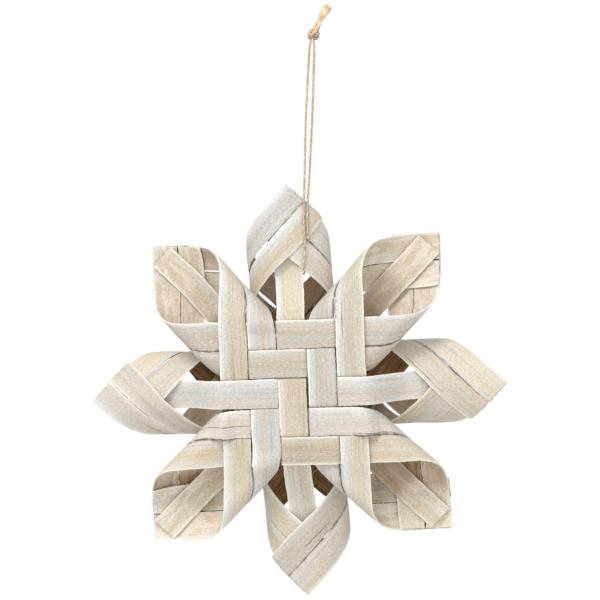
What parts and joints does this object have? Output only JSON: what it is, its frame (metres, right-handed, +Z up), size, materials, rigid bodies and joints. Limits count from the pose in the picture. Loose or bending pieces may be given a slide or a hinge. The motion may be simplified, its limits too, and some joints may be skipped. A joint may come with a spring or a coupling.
{
  "type": "woven wooden snowflake ornament",
  "caption": "Star of woven, rolled wood veneer strips with square-tipped hollow petals, hung from a knotted loop of string.",
  "frame": {"origin": "inside the top of the string loop, just under its knot, where a hook or nail holds it", "axes": "+Z up, the front faces -Y, +X to the right as seen from the front"},
  "size_m": [0.2502, 0.0534, 0.3535],
  "materials": {
    "whitewashed_veneer": "matt whitewash rubbed into the grain, paler along the edges",
    "jute": "twisted natural jute twine, frayed at the cut ends"
  },
  "bodies": {
    "root": {"front_upright_strip_1": "whitewashed_veneer", "front_upright_strip_2": "whitewashed_veneer", "front_upright_strip_3": "whitewashed_veneer", "front_upright_strip_4": "whitewashed_veneer", "front_upright_strip_5": "whitewashed_veneer", "front_level_strip_1": "whitewashed_veneer", "front_level_strip_2": "whitewashed_veneer", "front_level_strip_3": "whitewashed_veneer", "front_level_strip_4": "whitewashed_veneer", "front_level_strip_5": "whitewashed_veneer", "back_falling_strip_1": "whitewashed_veneer", "back_falling_strip_2": "whitewashed_veneer", "back_falling_strip_3": "whitewashed_veneer", "back_falling_strip_4": "whitewashed_veneer", "back_falling_strip_5": "whitewashed_veneer", "back_rising_strip_1": "whitewashed_veneer", "back_rising_strip_2": "whitewashed_veneer", "back_rising_strip_3": "whitewashed_veneer", "back_rising_strip_4": "whitewashed_veneer", "back_rising_strip_5": "whitewashed_veneer", "string_loop": "jute", "string_knot": "jute"}
  },
  "joints": []
}
